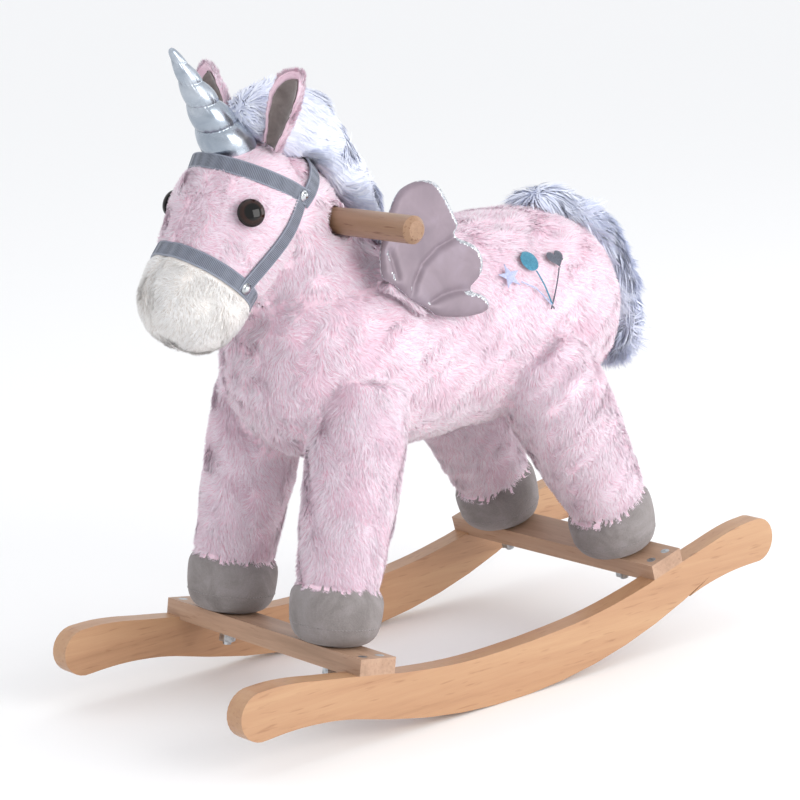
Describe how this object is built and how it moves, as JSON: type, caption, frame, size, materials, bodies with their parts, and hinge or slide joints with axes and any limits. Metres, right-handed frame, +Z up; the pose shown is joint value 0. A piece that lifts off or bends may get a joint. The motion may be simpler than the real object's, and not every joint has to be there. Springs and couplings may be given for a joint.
{
  "type": "rocking horse",
  "caption": "Plush unicorn rocking horse with fabric wings, a horn, a webbing bridle and a cross handle, on curved wooden rockers.",
  "frame": {"origin": "middle of the bounding box on the floor, where the rockers rest", "axes": "+Z up, the horse faces -Y along the rockers, its left side is +X"},
  "size_m": [0.296, 0.648, 0.5918],
  "materials": {
    "rocker_left": "satin",
    "rocker_right": "satin",
    "crossbar_front": "matte",
    "crossbar_rear": "matte",
    "crossbar_screws": "satin",
    "leg_bolts": "satin",
    "leg_washers": "satin",
    "post_front_left": "matte",
    "post_front_right": "matte",
    "post_rear_left": "matte",
    "post_rear_right": "matte",
    "beam_front": "matte",
    "beam_rear": "matte",
    "spine_board": "matte",
    "neck_board": "matte",
    "frame_screws": "satin",
    "handle": "satin",
    "handle_screw": "satin",
    "torso_skin": "matte",
    "torso_stuffing": "matte",
    "neck_skin": "matte",
    "neck_stuffing": "matte",
    "head_skin": "matte",
    "muzzle_skin": "matte",
    "head_stuffing": "matte",
    "leg_front_left": "matte",
    "leg_front_right": "matte",
    "leg_rear_left": "matte",
    "leg_rear_right": "matte",
    "leg_stuffing_front_left": "matte",
    "leg_stuffing_front_right": "matte",
    "leg_stuffing_rear_left": "matte",
    "leg_stuffing_rear_right": "matte",
    "hoof_front_left": "matte",
    "hoof_front_right": "matte",
    "hoof_rear_left": "matte",
    "hoof_rear_right": "matte",
    "horn": "gloss",
    "mane": "matte",
    "tail": "matte",
    "ear_left": "matte",
    "ear_right": "matte",
    "ear_lining_left": "matte",
    "ear_lining_right": "matte",
    "eye_left": "gloss",
    "eye_right": "gloss",
    "eye_washers": "matte",
    "browband": "matte",
    "crown_strap": "matte",
    "cheek_strap_left": "matte",
    "cheek_strap_right": "matte",
    "noseband": "matte",
    "chin_strap": "matte",
    "rivets": "satin",
    "wing_left": "satin",
    "wing_right": "satin",
    "wing_seam_left": "matte",
    "wing_seam_right": "matte"
  },
  "bodies": {
    "rocking_horse": {"rocker_left": "rocker_left", "rocker_right": "rocker_right", "crossbar_front": "crossbar_front", "crossbar_rear": "crossbar_rear", "crossbar_screws": "crossbar_screws", "leg_bolts": "leg_bolts", "leg_washers": "leg_washers", "post_front_left": "post_front_left", "post_front_right": "post_front_right", "post_rear_left": "post_rear_left", "post_rear_right": "post_rear_right", "beam_front": "beam_front", "beam_rear": "beam_rear", "spine_board": "spine_board", "neck_board": "neck_board", "frame_screws": "frame_screws", "handle": "handle", "handle_screw": "handle_screw", "torso_skin": "torso_skin", "torso_stuffing": "torso_stuffing", "neck_skin": "neck_skin", "neck_stuffing": "neck_stuffing", "head_skin": "head_skin", "muzzle_skin": "muzzle_skin", "head_stuffing": "head_stuffing", "leg_front_left": "leg_front_left", "leg_front_right": "leg_front_right", "leg_rear_left": "leg_rear_left", "leg_rear_right": "leg_rear_right", "leg_stuffing_front_left": "leg_stuffing_front_left", "leg_stuffing_front_right": "leg_stuffing_front_right", "leg_stuffing_rear_left": "leg_stuffing_rear_left", "leg_stuffing_rear_right": "leg_stuffing_rear_right", "hoof_front_left": "hoof_front_left", "hoof_front_right": "hoof_front_right", "hoof_rear_left": "hoof_rear_left", "hoof_rear_right": "hoof_rear_right", "horn": "horn", "mane": "mane", "eye_left": "eye_left", "eye_right": "eye_right", "eye_washers": "eye_washers", "browband": "browband", "crown_strap": "crown_strap", "cheek_strap_left": "cheek_strap_left", "cheek_strap_right": "cheek_strap_right", "noseband": "noseband", "chin_strap": "chin_strap", "rivets": "rivets", "wing_seam_left": "wing_seam_left", "wing_seam_right": "wing_seam_right"},
    "left_wing": {"wing_left": "wing_left"},
    "right_wing": {"wing_right": "wing_right"},
    "left_ear": {"ear_left": "ear_left", "ear_lining_left": "ear_lining_left"},
    "right_ear": {"ear_right": "ear_right", "ear_lining_right": "ear_lining_right"},
    "tail_tuft": {"tail": "tail"}
  },
  "joints": [
    {"name": "wing_left_fold", "type": "hinge", "parent": "rocking_horse", "child": "left_wing", "pos_m": [0.09285, -0.08721, 0.36803], "axis": [0.123, 0.7876, -0.6037], "range_deg": [0, 35], "stiffness_Nm_per_rad": 0.12},
    {"name": "wing_right_fold", "type": "hinge", "parent": "rocking_horse", "child": "right_wing", "pos_m": [-0.09285, -0.08721, 0.36803], "axis": [0.123, -0.7876, 0.6037], "range_deg": [0, 35], "stiffness_Nm_per_rad": 0.12},
    {"name": "ear_left_flick", "type": "hinge", "parent": "rocking_horse", "child": "left_ear", "pos_m": [0.029, -0.17633, 0.50623], "axis": [0.8138, 0.2778, -0.5105], "range_deg": [-20, 20], "stiffness_Nm_per_rad": 0.04},
    {"name": "ear_right_flick", "type": "hinge", "parent": "rocking_horse", "child": "right_ear", "pos_m": [-0.029, -0.17633, 0.50623], "axis": [0.883, -0.3557, 0.3062], "range_deg": [-20, 20], "stiffness_Nm_per_rad": 0.04},
    {"name": "tail_swing", "type": "hinge", "parent": "rocking_horse", "child": "tail_tuft", "pos_m": [0, 0.14024, 0.41995], "axis": [1, 0, 0], "range_deg": [0, 40]}
  ]
}
